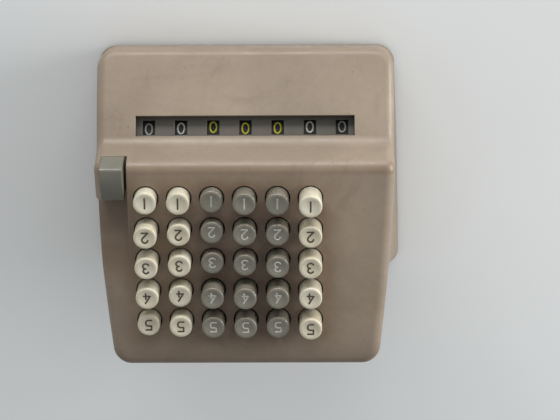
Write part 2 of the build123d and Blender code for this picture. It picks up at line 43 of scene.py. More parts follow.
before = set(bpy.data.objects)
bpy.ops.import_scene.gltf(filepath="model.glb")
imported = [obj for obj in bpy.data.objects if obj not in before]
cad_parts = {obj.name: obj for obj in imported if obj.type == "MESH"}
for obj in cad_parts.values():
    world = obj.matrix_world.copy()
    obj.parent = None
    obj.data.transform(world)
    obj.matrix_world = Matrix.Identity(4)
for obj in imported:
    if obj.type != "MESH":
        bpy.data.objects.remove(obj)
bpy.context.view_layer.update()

MM = 0.001
PITCH = 19.05 * MM
COLUMNS = 6
ROWS = 5
WHEELS = 7
SLOPE = math.radians(10.0)
ROW_1 = Vector((0.0, -21.4 * MM, 97.5 * MM))
KEY_HEIGHTS = [
    [9.7, 15.0, 14.7, 14.0, 8.9],
    [10.5, 10.6, 11.0, 10.6, 11.3],
    [7.1, 6.9, 6.5, 14.2, 12.7],
    [11.6, 10.6, 10.0, 15.0, 13.4],
    [12.1, 11.1, 13.2, 14.5, 12.9],
    [16.1, 14.5, 14.8, 15.0, 15.8],
]
CREAM_COLUMNS = (1, 2, 6)
YELLOW_WHEELS = (3, 4, 5)
FLAT_ANGLE = math.radians(0.4)
REGISTER_AXIS = Vector((0.0, -36.4 * MM, 46.2 * MM))
WHEEL_RADIUS = 13.5 * MM
WINDOW_ANGLE = 50.0
# How far each wheel's print stands below the middle of its window, from play in the train
WHEEL_PLAY = [0.2 * MM, 0.6 * MM, 1.4 * MM, 0.6 * MM, 0.7 * MM, 1.2 * MM, 1.4 * MM]
GUIDE_DEPTH = 17.2 * MM
HOLE_RADIUS = 7.45 * MM
COVER_MIDDLE = Vector((0.0, 0.0, 45.0 * MM))
RECESS_START = 66.0 * MM
RECESS_LEVEL = 81.2 * MM
SCOOP_REAR = 40.0 * MM
WINDOW_REACH = 66.5 * MM
WINDOW_ENDS = (-60.0 * MM, -41.0 * MM)
WINDOW_LEVEL = 50.0 * MM

# Where the dirt and painted shade on the enamel begin and end, each a pair of places along one axis
FIELD_LEFT = (-62 * MM, -40 * MM)
FIELD_RIGHT = (62 * MM, 78 * MM)
FIELD_FRONT = (-40 * MM, -26 * MM)
FIELD_REAR = (60 * MM, 78 * MM)
FIELD_LEVEL = (84 * MM, 92 * MM)
CORE_LEFT = (-40 * MM, -20 * MM)
CORE_RIGHT = (24 * MM, 44 * MM)
CORE_FRONT = (-22 * MM, -6 * MM)
STEP_RISE = (-41.6 * MM, -40 * MM)
STEP_FALL = (-37 * MM, -33.5 * MM)
STEP_LEVEL = (86 * MM, 90 * MM)
FRONT_DIRT_AND_SHADE = (-90 * MM, -56 * MM)
SIDE_SHADE = (30 * MM, 80 * MM)
SIDE_LEVEL = (10 * MM, 30 * MM)
SCOOP_SIDE = (60 * MM, 67 * MM)
SCOOP_FRONT = (-24 * MM, -12 * MM)
SCOOP_END = (40 * MM, 18 * MM)
SCOOP_LEVEL = (78 * MM, 84 * MM)
REAR_EDGE = (66 * MM, 80 * MM)
REAR_LEVEL = (104 * MM, 112 * MM)
BOTTOM_DARKENING = (3 * MM, 20 * MM)

SOFT_WHITE = (1.0, 0.99, 0.97)
LENS = 109.3
CAMERA_PLACE = (-0.0293, -0.5049, 0.9527)
CAP_LENGTH = 17.0 * MM


def arc(centre_x, centre_y, radius_x, radius_y, start, end, count=14):
    """Points along an elliptical arc, angles in degrees."""
    points = []
    for i in range(count + 1):
        angle = math.radians(start + (end - start) * i / count)
        points.append((centre_x + radius_x * math.cos(angle), centre_y + radius_y * math.sin(angle)))
    return points


# Centre lines of the digits in a box one unit high, middle at x 0, drawn as with an engraver's pen
GLYPHS = {
    "0": [arc(0, 0.5, 0.30, 0.5, 90, 450, 32)],
    "1": [[(0.0, 0.0), (0.0, 1.0)]],
    "2": [arc(0, 0.72, 0.28, 0.28, 170, -38, 14) + [(-0.28, 0.0)], [(-0.28, 0.0), (0.30, 0.0)]],
    "3": [arc(0, 0.76, 0.26, 0.24, 155, -80, 14), arc(0, 0.27, 0.30, 0.27, 85, -155, 14)],
    "4": [[(0.16, 1.0), (-0.30, 0.26)], [(-0.30, 0.26), (0.30, 0.26)], [(0.12, 0.56), (0.12, 0.0)]],
    "5": [
        [(0.27, 1.0), (-0.26, 1.0)],
        [(-0.26, 1.0), (-0.26, 0.60)],
        [(-0.26, 0.60), (0.08, 0.60)]
        + arc(0.05, 0.35, 0.24, 0.25, 75, 0, 6)
        + arc(0.05, 0.25, 0.24, 0.25, 0, -90, 6),
        [(0.05, 0.0), (-0.27, 0.0)],
    ],
    "6": [arc(0, 0.30, 0.29, 0.30, 90, 450, 24), [(-0.29, 0.32), (-0.20, 0.70), (0.08, 1.0)]],
    "7": [[(-0.28, 1.0), (0.28, 1.0)], [(0.28, 1.0), (-0.08, 0.0)]],
    "8": [arc(0, 0.75, 0.24, 0.25, 90, 450, 24), arc(0, 0.26, 0.29, 0.26, 90, 450, 24)],
    "9": [arc(0, 0.70, 0.29, 0.30, 90, 450, 24), [(0.29, 0.68), (0.20, 0.30), (-0.08, 0.0)]],
}


def panel_matrix(x, along, depth):
    """Placement parallel to the key panel: local Z points out of it and local Y to the rear."""
    rotation = Matrix.Rotation(SLOPE, 4, "X")
    offset = rotation @ Vector((0.0, along, -depth))
    return Matrix.Translation(Vector((x, 0.0, 0.0)) + ROW_1 + offset) @ rotation


def finished(name, mesh_builder, materials):
    """Makes an object at the origin from a bmesh, which it frees."""
    mesh = bpy.data.meshes.new(name)
    mesh_builder.to_mesh(mesh)
    mesh_builder.free()
    obj = bpy.data.objects.new(name, mesh)
    bpy.context.scene.collection.objects.link(obj)
    for material in materials:
        mesh.materials.append(material)
    return obj


def mark_edges(builder, angle):
    """Smooth faces, with a sharp edge wherever two faces meet at more than this angle in degrees."""
    limit = math.radians(angle)
    for face in builder.faces:
        face.smooth = True
    for edge in builder.edges:
        edge.smooth = len(edge.link_faces) == 2 and edge.calc_face_angle(0.0) < limit


def cad_builder(node):
    """A bmesh copy of a CAD node with its loose triangles merged and its degenerate pieces dissolved."""
    builder = bmesh.new()
    builder.from_mesh(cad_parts[node].data)
    bmesh.ops.remove_doubles(builder, verts=builder.verts, dist=2e-6)
    bmesh.ops.dissolve_degenerate(builder, dist=1e-6, edges=builder.edges)
    return builder


def cad_copy(node, name, material, bevel, segments):
    """A finished copy of a CAD node, its hard edges rounded by a live Bevel."""
    builder = cad_builder(node)
    bmesh.ops.dissolve_limit(
        builder,
        angle_limit=FLAT_ANGLE,
        verts=builder.verts,
        edges=builder.edges,
        delimit=set(),
    )
    mark_edges(builder, 32)
    obj = finished(name, builder, [material])
    if bevel:
        modifier = obj.modifiers.new("Rounded edges", "BEVEL")
        modifier.width = bevel
        modifier.segments = segments
        modifier.limit_method = "ANGLE"
        modifier.angle_limit = math.radians(38)
        modifier.harden_normals = True
        modifier.use_clamp_overlap = True
    return obj


def add_stroke(builder, points, half_width, place, height, sink, material_index):
    """One pen stroke as a thin closed ribbon with round ends; place(u, v, w) gives each vertex."""
    left, right = [], []
    count = len(points)
    closed = math.dist(points[0], points[-1]) < 1e-7
    for i, (u, v) in enumerate(points):
        before = points[-2] if closed and i == 0 else points[max(i - 1, 0)]
        after = points[1] if closed and i == count - 1 else points[min(i + 1, count - 1)]
        run = Vector((after[0] - before[0], after[1] - before[1]))
        run.normalize()
        left.append((u - run.y * half_width, v + run.x * half_width))
        right.append((u + run.y * half_width, v - run.x * half_width))

    def cap(centre, start):
        ring = []
        first = math.atan2(start[1] - centre[1], start[0] - centre[0])
        for step in range(1, 6):
            turn = first - math.pi * step / 6
            ring.append((centre[0] + half_width * math.cos(turn), centre[1] + half_width * math.sin(turn)))
        return ring

    outline = left + cap(points[-1], left[-1]) + right[::-1] + cap(points[0], right[0])
    top = [builder.verts.new(place(u, v, height)) for u, v in outline]
    low = [builder.verts.new(place(u, v, -sink)) for u, v in outline]
    total = len(outline)
    quads = [(i, i + 1, count + 5 + (count - 2 - i), count + 5 + (count - 1 - i)) for i in range(count - 1)]
    end_fan = list(range(count - 1, count + 6))
    start_fan = list(range(2 * count + 4, total)) + [0]
    for indices in quads + [end_fan, start_fan]:
        face = builder.faces.new([top[i] for i in indices][::-1])
        face.material_index = material_index
        face = builder.faces.new([low[i] for i in indices])
        face.material_index = material_index
    for i in range(total):
        j = (i + 1) % total
        face = builder.faces.new([top[i], top[j], low[j], low[i]])
        face.material_index = material_index


def refine(points, spacing):
    """The same line with a point at least this often."""
    refined = [points[0]]
    for start, end in zip(points, points[1:]):
        length = math.dist(start, end)
        if length < 1e-6:
            continue
        steps = max(1, math.ceil(length / spacing))
        for i in range(1, steps + 1):
            share = i / steps
            refined.append((start[0] + (end[0] - start[0]) * share, start[1] + (end[1] - start[1]) * share))
    return refined


def add_digit(builder, digit, size, stroke, place, height, sink, material_index):
    """A digit of this height and pen width, centred on u 0, v 0."""
    for line in GLYPHS[digit]:
        points = refine([(u * size, (v - 0.5) * size) for u, v in line], size / 10)
        add_stroke(builder, points, stroke / 2, place, height, sink, material_index)


# ---------------------------------------------------------------- materials


def new_material(name):
    """An empty node material with its Principled shader and Object coordinates."""
    material = bpy.data.materials.new(name)
    material.use_nodes = True
    tree = material.node_tree
    shader = tree.nodes["Principled BSDF"]
    coordinates = tree.nodes.new("ShaderNodeTexCoord")
    return material, tree, shader, coordinates.outputs["Object"]


def noise(tree, vector, scale, detail=4.0, roughness=0.55, distortion=0.0, stretch=None):
    """A noise pattern on these coordinates; stretch scales each axis first."""
    if stretch:
        mapping = tree.nodes.new("ShaderNodeMapping")
        mapping.inputs["Scale"].default_value = stretch
        tree.links.new(vector, mapping.inputs["Vector"])
        vector = mapping.outputs["Vector"]
    node = tree.nodes.new("ShaderNodeTexNoise")
    node.inputs["Scale"].default_value = scale
    node.inputs["Detail"].default_value = detail
    node.inputs["Roughness"].default_value = roughness
    node.inputs["Distortion"].default_value = distortion
    tree.links.new(vector, node.inputs["Vector"])
    return node.outputs["Fac"]


def remap(tree, value, low, high, to_low=0.0, to_high=1.0, smooth=True):
    """Value from low..high to to_low..to_high, held at the ends."""
    node = tree.nodes.new("ShaderNodeMapRange")
    node.interpolation_type = "SMOOTHSTEP" if smooth else "LINEAR"
    for socket, amount in zip(("From Min", "From Max", "To Min", "To Max"), (low, high, to_low, to_high)):
        node.inputs[socket].default_value = amount
    tree.links.new(value, node.inputs["Value"])
    return node.outputs["Result"]


def math_node(tree, operation, a, b):
    """A math node on sockets or numbers."""
    node = tree.nodes.new("ShaderNodeMath")
    node.operation = operation
    for socket, value in zip(node.inputs, (a, b)):
        if isinstance(value, (int, float)):
            socket.default_value = value
        else:
            tree.links.new(value, socket)
    return node.outputs["Value"]


def product(tree, first, *others):
    """Sockets or numbers multiplied together."""
    for other in others:
        first = math_node(tree, "MULTIPLY", first, other)
    return first


def mix(tree, factor, a, b, blend="MIX"):
    """A colour mix; factor, a and b are sockets, or a number and linear colours."""
    node = tree.nodes.new("ShaderNodeMix")
    node.data_type = "RGBA"
    node.blend_type = blend
    for socket, value in ((node.inputs[0], factor), (node.inputs[6], a), (node.inputs[7], b)):
        if isinstance(value, (int, float)):
            socket.default_value = value
        elif isinstance(value, tuple):
            socket.default_value = (*value, 1.0)
        else:
            tree.links.new(value, socket)
    return node.outputs[2]


def bump(tree, shader, height, strength, distance):
    """Relief from a height pattern, in metres of depth."""
    node = tree.nodes.new("ShaderNodeBump")
    node.inputs["Strength"].default_value = strength
    node.inputs["Distance"].default_value = distance
    tree.links.new(height, node.inputs["Height"])
    tree.links.new(node.outputs["Normal"], shader.inputs["Normal"])


def specks(tree, vector, scale, size, rarity):
    """Mask of a few small round spots, one in some of the cells of a Voronoi pattern."""
    cells = tree.nodes.new("ShaderNodeTexVoronoi")
    cells.inputs["Scale"].default_value = scale
    tree.links.new(vector, cells.inputs["Vector"])
    spot = remap(tree, cells.outputs["Distance"], size * 0.6, size, 1.0, 0.0)
    channel = tree.nodes.new("ShaderNodeSeparateColor")
    tree.links.new(cells.outputs["Color"], channel.inputs["Color"])
    chosen = math_node(tree, "GREATER_THAN", channel.outputs["Red"], rarity)
    return product(tree, spot, chosen)


def soiled(tree, base, mask, colour, factors):
    """The base colour turned where the mask is 1 to this paint colour times three factors."""
    return mix(tree, mask, base, tuple(c * f for c, f in zip(colour, factors)))


def hill(tree, value, rise, fall, height=1.0):
    """1 between a soft rise and a soft fall, each a pair of places, scaled to this height."""
    return product(tree, remap(tree, value, *rise), remap(tree, value, *fall, height, 0.0))


def paint_dirt(tree, vector, base, colour):
    """Grime where hands reach it and painted shade on the enamel: key field, step, front, right side, scoop,
    rear edge and foot.
    """
    axes = tree.nodes.new("ShaderNodeSeparateXYZ")
    tree.links.new(vector, axes.inputs["Vector"])
    x, y, z = axes.outputs["X"], axes.outputs["Y"], axes.outputs["Z"]
    # brown grime and painted shade between the keys over the key field, with the darkest painted shade
    # between the middle columns
    along = hill(tree, y, FIELD_FRONT, FIELD_REAR)
    field = product(tree, hill(tree, x, FIELD_LEFT, FIELD_RIGHT), along, remap(tree, z, *FIELD_LEVEL))
    patchy = remap(tree, noise(tree, vector, 48, 5, 0.6, 0.8), 0.3, 0.7, 0.45, 1.0)
    base = soiled(tree, base, product(tree, field, patchy), colour, (0.62, 0.50, 0.41))
    # painted shade: much darker between the middle columns
    core = product(tree, hill(tree, x, CORE_LEFT, CORE_RIGHT, 0.55), remap(tree, y, *CORE_FRONT), along)
    base = soiled(tree, base, product(tree, core, patchy), colour, (0.20, 0.17, 0.15))
    # painted shade along the step's edge
    edge_band = product(tree, hill(tree, y, STEP_RISE, STEP_FALL, 0.75), remap(tree, z, *STEP_LEVEL))
    base = soiled(tree, base, product(tree, edge_band, patchy), colour, (0.72, 0.63, 0.54))
    # streaks drawn out across the machine
    pattern = noise(tree, vector, 34, 7, 0.65, 0.8, (0.30, 1.0, 1.0))
    base = soiled(tree, base, remap(tree, pattern, 0.50, 0.74, 0.0, 0.42), colour, (0.74, 0.69, 0.64))
    # grime and painted shade along the front, and painted shade on the operator's right side, away from the
    # side light
    blotches = remap(tree, noise(tree, vector, 26, 5, 0.6, 0.6), 0.3, 0.7, 0.55, 1.0)
    front = remap(tree, y, *FRONT_DIRT_AND_SHADE, 0.55, 0.0)
    side = product(tree, remap(tree, x, *SIDE_SHADE, 0.0, 0.40), remap(tree, z, *SIDE_LEVEL))
    front_and_side_dark = product(tree, math_node(tree, "MAXIMUM", front, side), blotches)
    base = soiled(tree, base, front_and_side_dark, colour, (0.74, 0.70, 0.66))
    # painted shade and grime in the scoop behind the lever, and painted shade along the rear edge of the top
    scoop = product(tree, remap(tree, x, *SCOOP_SIDE), remap(tree, y, *SCOOP_FRONT))
    scoop = product(tree, scoop, remap(tree, y, *SCOOP_END), remap(tree, z, *SCOOP_LEVEL))
    rear_top = product(tree, remap(tree, y, *REAR_EDGE), remap(tree, z, *REAR_LEVEL, 0.0, 0.7))
    scoop_and_rear_dark = product(tree, math_node(tree, "MAXIMUM", scoop, rear_top), blotches)
    base = soiled(tree, base, scoop_and_rear_dark, colour, (0.56, 0.50, 0.45))
    # smears all over, and darker towards the bottom
    pattern = noise(tree, vector, 30, 8, 0.7, 1.6, (1.0, 0.55, 1.0))
    base = soiled(tree, base, remap(tree, pattern, 0.54, 0.74, 0.0, 0.45), colour, (0.62, 0.57, 0.53))
    return soiled(tree, base, remap(tree, z, *BOTTOM_DARKENING, 0.35, 0.0), colour, (0.55, 0.55, 0.55))


def enamel(name, colour):
    """Aged stoving enamel: mottling, brown grime with painted shade, dust specks, rubbed gloss and a slight
    orange peel.
    """
    material, tree, shader, vector = new_material(name)
    light = tuple(min(1.0, c * 1.07) for c in colour)
    dark = tuple(c * 0.90 for c in colour)
    clouds = remap(tree, noise(tree, vector, 16, 3, 0.5, 0.4), 0.35, 0.65)
    base = mix(tree, clouds, dark, light)
    mottle = remap(tree, noise(tree, vector, 260, 6, 0.65), 0.3, 0.7, 0.955, 1.03)
    base = mix(tree, 1.0, base, combine_grey(tree, mottle), "MULTIPLY")
    base = paint_dirt(tree, vector, base, colour)
    spots = specks(tree, vector, 160, 0.075, 0.80)
    base = mix(tree, product(tree, spots, 0.75), base, (0.045, 0.035, 0.028))
    tree.links.new(base, shader.inputs["Base Color"])
    rubbed = noise(tree, vector, 90, 5, 0.6, 0.0, (1.0, 0.2, 0.2))
    tree.links.new(remap(tree, rubbed, 0.3, 0.7, 0.34, 0.50), shader.inputs["Roughness"])
    shader.inputs["Specular IOR Level"].default_value = 0.42
    shader.inputs["Coat Weight"].default_value = 0.06
    shader.inputs["Coat Roughness"].default_value = 0.35
    peel = math_node(tree, "ADD", noise(tree, vector, 520, 2, 0.5), product(tree, spots, 1.5))
    bump(tree, shader, peel, 0.10, 0.0004)
    return material


def combine_grey(tree, value):
    """A grey colour from one value."""
    node = tree.nodes.new("ShaderNodeCombineColor")
    for socket in node.inputs[:3]:
        tree.links.new(value, socket)
    return node.outputs["Color"]


def moulded(name, colour, grime, roughness, depth=0.0, coat=0.25):
    """Old moulded plastic: yellowing, scratches, finger grease; depth is the light that enters it."""
    material, tree, shader, vector = new_material(name)
    base = mix(tree, remap(tree, noise(tree, vector, 60, 4, 0.6, 0.3), 0.3, 0.7), colour, grime)
    fine = remap(tree, noise(tree, vector, 700, 5, 0.6), 0.3, 0.7, 0.97, 1.02)
    base = mix(tree, 1.0, base, combine_grey(tree, fine), "MULTIPLY")
    dirt = specks(tree, vector, 420, 0.07, 0.93)
    base = mix(tree, product(tree, dirt, 0.6), base, tuple(c * 0.3 for c in grime))
    tree.links.new(base, shader.inputs["Base Color"])
    grease = noise(tree, vector, 150, 4, 0.6, 0.6)
    gloss = remap(tree, grease, 0.3, 0.7, roughness - 0.07, roughness + 0.10)
    tree.links.new(gloss, shader.inputs["Roughness"])
    shader.inputs["Coat Weight"].default_value = coat
    shader.inputs["Coat Roughness"].default_value = 0.12
    if depth:
        shader.inputs["Subsurface Weight"].default_value = depth
        shader.inputs["Subsurface Radius"].default_value = (1.0, 0.9, 0.6)
        shader.inputs["Subsurface Scale"].default_value = 0.0015
    scratches = noise(tree, vector, 1500, 3, 0.6, 0.0, (1.0, 0.12, 1.0))
    bump(tree, shader, scratches, 0.08, 0.0001)
    return material


def metal(name, colour, roughness, grain=(1.0, 0.04, 1.0), stain=0.35):
    """Plain or plated steel with a drawn grain, oil stain and dull spots."""
    material, tree, shader, vector = new_material(name)
    lines = noise(tree, vector, 1400, 4, 0.6, 0.0, grain)
    base = mix(tree, remap(tree, lines, 0.3, 0.7), tuple(c * 0.82 for c in colour), colour)
    oil = remap(tree, noise(tree, vector, 45, 6, 0.65, 1.2), 0.52, 0.72, 0.0, stain)
    base = mix(tree, oil, base, tuple(c * f for c, f in zip(colour, (0.55, 0.47, 0.36))))
    pits = specks(tree, vector, 380, 0.09, 0.85)
    base = mix(tree, product(tree, pits, 0.5), base, (0.12, 0.09, 0.07))
    tree.links.new(base, shader.inputs["Base Color"])
    shader.inputs["Metallic"].default_value = 1.0
    dull = math_node(tree, "ADD", remap(tree, lines, 0.3, 0.7, -0.06, 0.08), product(tree, oil, 0.5))
    tree.links.new(math_node(tree, "ADD", dull, roughness), shader.inputs["Roughness"])
    bump(tree, shader, lines, 0.12, 0.00008)
    return material


def rubber(name):
    """Perished black rubber with dust and a bloomed surface."""
    material, tree, shader, vector = new_material(name)
    bloom = remap(tree, noise(tree, vector, 130, 6, 0.65, 0.5), 0.42, 0.75)
    base = mix(tree, bloom, (0.018, 0.017, 0.016), (0.060, 0.056, 0.050))
    dust = specks(tree, vector, 500, 0.10, 0.80)
    base = mix(tree, product(tree, dust, 0.6), base, (0.20, 0.18, 0.15))
    tree.links.new(base, shader.inputs["Base Color"])
    tree.links.new(remap(tree, bloom, 0.0, 1.0, 0.62, 0.85), shader.inputs["Roughness"])
    bump(tree, shader, noise(tree, vector, 900, 4, 0.6), 0.25, 0.0002)
    return material


def ink(name, colour, roughness=0.5, wear=0.25):
    """Paint wiped into engraved or printed figures, thin and uneven in places."""
    material, tree, shader, vector = new_material(name)
    thin = remap(tree, noise(tree, vector, 900, 4, 0.6), 0.45, 0.75, 0.0, wear)
    base = mix(tree, thin, colour, tuple(c * 0.55 for c in colour))
    tree.links.new(base, shader.inputs["Base Color"])
    tree.links.new(remap(tree, thin, 0.0, 1.0, roughness, roughness + 0.3), shader.inputs["Roughness"])
    bump(tree, shader, noise(tree, vector, 2200, 3, 0.6), 0.15, 0.00005)
    return material


# ---------------------------------------------------------------- geometry


def cap_profile(radius, length, edge, dish_radius, dish_depth):
    """(radius, height) pairs from the bottom middle, up the side, over the rim and down into the dish."""
    points = [(0.0, -length), (radius - 0.15 * MM, -length), (radius, -length + 0.3 * MM), (radius, -edge)]
    points += arc(radius - edge, -edge, edge, edge, 10, 90, 8)
    sphere = (dish_radius**2 + dish_depth**2) / (2 * dish_depth)
    points.append((dish_radius + 0.22 * MM, 0.0))
    for i in range(9):
        r = dish_radius * (1 - i / 8)
        points.append((r, sphere - dish_depth - math.sqrt(sphere**2 - r**2)))
    return points


def dish_height(u, v, dish_radius, dish_depth):
    """Level of the dish's surface under the cap's top plane."""
    sphere = (dish_radius**2 + dish_depth**2) / (2 * dish_depth)
    return sphere - dish_depth - math.sqrt(sphere**2 - u * u - v * v)


def add_turned(builder, profile, segments, place):
    """Revolves a profile about local Z with single vertices at its two ends."""
    rings = []
    for radius, height in profile:
        if radius < 1e-7:
            rings.append([builder.verts.new(place @ Vector((0.0, 0.0, height)))])
            continue
        ring = []
        for i in range(segments):
            angle = 2 * math.pi * i / segments
            point = Vector((radius * math.cos(angle), radius * math.sin(angle), height))
            ring.append(builder.verts.new(place @ point))
        rings.append(ring)
    for lower, upper in zip(rings, rings[1:]):
        for i in range(segments):
            j = (i + 1) % segments
            if len(lower) == 1:
                builder.faces.new([lower[0], upper[j], upper[i]])
            elif len(upper) == 1:
                builder.faces.new([lower[i], lower[j], upper[0]])
            else:
                builder.faces.new([lower[i], lower[j], upper[j], upper[i]])


def build_key(column, row, settings):
    """One key: a dished cap with its figure, on the stem taken from its CAD node."""
    name = f"key_column{column + 1}_digit{row + 1}"
    height = KEY_HEIGHTS[column][row] * MM
    x = PITCH * (3 - column)
    top = panel_matrix(x, row * PITCH, -height)
    cream = column + 1 in CREAM_COLUMNS
    builder = cad_builder(name)
    level = top.inverted()
    floor = -CAP_LENGTH - 1e-5
    in_cap = [face for face in builder.faces if all((level @ v.co).z > floor for v in face.verts)]
    bmesh.ops.delete(builder, geom=in_cap, context="FACES")
    open_edges = [edge for edge in builder.edges if len(edge.link_faces) == 1]
    bmesh.ops.holes_fill(builder, edges=open_edges, sides=0)
    bmesh.ops.dissolve_limit(builder, angle_limit=FLAT_ANGLE, verts=builder.verts, edges=builder.edges)
    for face in builder.faces:
        face.material_index = 1
    made = len(builder.faces)
    dish = (settings.dish_radius, settings.dish_depth)
    profile = cap_profile(settings.radius, CAP_LENGTH, settings.edge, *dish)
    add_turned(builder, profile, 56, top)
    builder.faces.ensure_lookup_table()
    for face in builder.faces[made:]:
        face.material_index = 0

    def place(u, v, w):
        drop = dish_height(u, v, *dish)
        return top @ Vector((u, v, drop + w))

    digit = str(row + 1)
    add_digit(builder, digit, settings.figure, settings.stroke, place, 0.03 * MM, 0.12 * MM, 2)
    mark_edges(builder, 40)
    plastic, figure = ("Cream plastic", "Dark figure") if cream else ("Grey plastic", "Pale figure")
    materials = [bpy.data.materials[label] for label in (plastic, "Zinc plate", figure)]
    obj = finished(f"cap_column{column + 1}_digit{row + 1}", builder, materials)
    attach(obj, name)
    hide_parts(name)


def coil_tree():
    """Geometry Nodes tree that turns a single point into a helical spring of round wire."""
    tree = bpy.data.node_groups.new("Coil spring", "GeometryNodeTree")
    face = tree.interface
    face.new_socket("Geometry", in_out="INPUT", socket_type="NodeSocketGeometry")
    inputs = {"Turns": 5.0, "Radius": 4.0 * MM, "Length": 10.0 * MM, "Wire radius": 0.35 * MM}
    for label, default in inputs.items():
        face.new_socket(label, in_out="INPUT", socket_type="NodeSocketFloat").default_value = default
    face.new_socket("Material", in_out="INPUT", socket_type="NodeSocketMaterial")
    face.new_socket("Geometry", in_out="OUTPUT", socket_type="NodeSocketGeometry")
    nodes, links = tree.nodes, tree.links
    entry = nodes.new("NodeGroupInput")
    spiral = nodes.new("GeometryNodeCurveSpiral")
    spiral.inputs["Resolution"].default_value = 14
    links.new(entry.outputs["Turns"], spiral.inputs["Rotations"])
    links.new(entry.outputs["Radius"], spiral.inputs["Start Radius"])
    links.new(entry.outputs["Radius"], spiral.inputs["End Radius"])
    links.new(entry.outputs["Length"], spiral.inputs["Height"])
    wire = nodes.new("GeometryNodeCurvePrimitiveCircle")
    wire.inputs["Resolution"].default_value = 6
    links.new(entry.outputs["Wire radius"], wire.inputs["Radius"])
    sweep = nodes.new("GeometryNodeCurveToMesh")
    sweep.inputs["Fill Caps"].default_value = True
    links.new(spiral.outputs["Curve"], sweep.inputs["Curve"])
    links.new(wire.outputs["Curve"], sweep.inputs["Profile Curve"])
    smooth = nodes.new("GeometryNodeSetShadeSmooth")
    links.new(sweep.outputs["Mesh"], smooth.inputs["Geometry"])
    instances = nodes.new("GeometryNodeInstanceOnPoints")
    links.new(entry.outputs["Geometry"], instances.inputs["Points"])
    links.new(smooth.outputs["Geometry"], instances.inputs["Instance"])
    real = nodes.new("GeometryNodeRealizeInstances")
    links.new(instances.outputs["Instances"], real.inputs["Geometry"])
    paint = nodes.new("GeometryNodeSetMaterial")
    links.new(real.outputs["Geometry"], paint.inputs["Geometry"])
    links.new(entry.outputs["Material"], paint.inputs["Material"])
    leave = nodes.new("NodeGroupOutput")
    links.new(paint.outputs["Geometry"], leave.inputs["Geometry"])
    return tree


def baked(name, tree, values, place):
    """Runs a Geometry Nodes tree on one point and returns the result as a plain mesh object."""
    seed = bmesh.new()
    seed.verts.new((0.0, 0.0, 0.0))
    source = finished(name + "_source", seed, [])
    modifier = source.modifiers.new("Shape", "NODES")
    modifier.node_group = tree
    for item in tree.interface.items_tree:
        if item.in_out == "INPUT" and item.name in values:
            modifier[item.identifier] = values[item.name]
    depsgraph = bpy.context.evaluated_depsgraph_get()
    mesh = bpy.data.meshes.new_from_object(source.evaluated_get(depsgraph), depsgraph=depsgraph)
    bpy.data.objects.remove(source)
    mesh.transform(place)
    mesh.name = name
    obj = bpy.data.objects.new(name, mesh)
    bpy.context.scene.collection.objects.link(obj)
    return obj


def is_unpainted(centre, normal):
    """True on the inside of the shell and on the walls and rims of the key holes, which take a near-black
    painted shade.
    """
    for column in range(COLUMNS):
        for row in range(ROWS):
            local = panel_matrix(PITCH * (3 - column), row * PITCH, 0.0).inverted() @ centre
            # the key holes' walls and the rim just round them get near-black painted shade
            if math.hypot(local.x, local.y) < HOLE_RADIUS + 0.25 * MM and local.z < -0.1 * MM:
                return True
    in_recess = centre.x > RECESS_START and centre.y < SCOOP_REAR and centre.z > RECESS_LEVEL
    in_window = abs(centre.x) < WINDOW_REACH and WINDOW_ENDS[0] < centre.y < WINDOW_ENDS[1]
    in_window = in_window and centre.z > WINDOW_LEVEL
    return not in_recess and not in_window and normal.dot(centre - COVER_MIDDLE) < 0.0


def build_wheel(number, settings):
    """A number wheel with its ten figures printed round the rim."""
    node = f"number_wheel_{number}"
    x = PITCH * (4 - number)
    builder = cad_builder(node)
    bmesh.ops.dissolve_limit(builder, angle_limit=FLAT_ANGLE, verts=builder.verts, edges=builder.edges)
    for figure in range(10):
        centre = math.radians(WINDOW_ANGLE - 36.0 * figure) - WHEEL_PLAY[number - 1] / WHEEL_RADIUS

        def place(u, v, w):
            angle = centre + v / WHEEL_RADIUS
            radius = WHEEL_RADIUS + w
            return REGISTER_AXIS + Vector((x + u, -radius * math.cos(angle), radius * math.sin(angle)))

        # the 1 is cut shorter, so that it stays out of the window beside the 0
        size = settings.figure * (0.8 if figure == 1 else 1.0)
        add_digit(builder, str(figure), size, settings.stroke, place, 0.03 * MM, 0.15 * MM, 1)
    mark_edges(builder, 30)
    shade = "Yellow figure" if number in YELLOW_WHEELS else "White figure"
    if number in (1, WHEELS):
        shade = "Dim figure"
    obj = finished(f"wheel_{number}", builder, [bpy.data.materials["Black wheel"], bpy.data.materials[shade]])
    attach(obj, node)
    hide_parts(node)


# ---------------------------------------------------------------- settings


def length_property(name, description, default):
    """A size in metres."""
    return bpy.props.FloatProperty(
        name=name,
        description=description,
        default=default,
        unit="LENGTH",
        min=0.0,
        precision=5,
    )


def colour_property(name, description, default):
    """A linear colour."""
    return bpy.props.FloatVectorProperty(
        name=name,
        description=description,
        default=default,
        subtype="COLOR",
        size=3,
        min=0.0,
        max=1.0,
    )


def power_property(name, description, default):
    """A light's power in watts."""
    return bpy.props.FloatProperty(
        name=name,
        description=description,
        default=default,
        unit="POWER",
        min=0.0,
    )


def strength_property(name, description, default):
    """A strength without a unit."""
    return bpy.props.FloatProperty(
        name=name,
        description=description,
        default=default,
        subtype="FACTOR",
        min=0.0,
        max=5.0,
    )


class ADDING_PG_shell(bpy.types.PropertyGroup):
    colour: colour_property("Enamel", "Colour of the stoving enamel on the shell", (0.272, 0.216, 0.163))
    bevel: length_property("Edge radius", "Rounding of the shell's cut edges", 0.45 * MM)


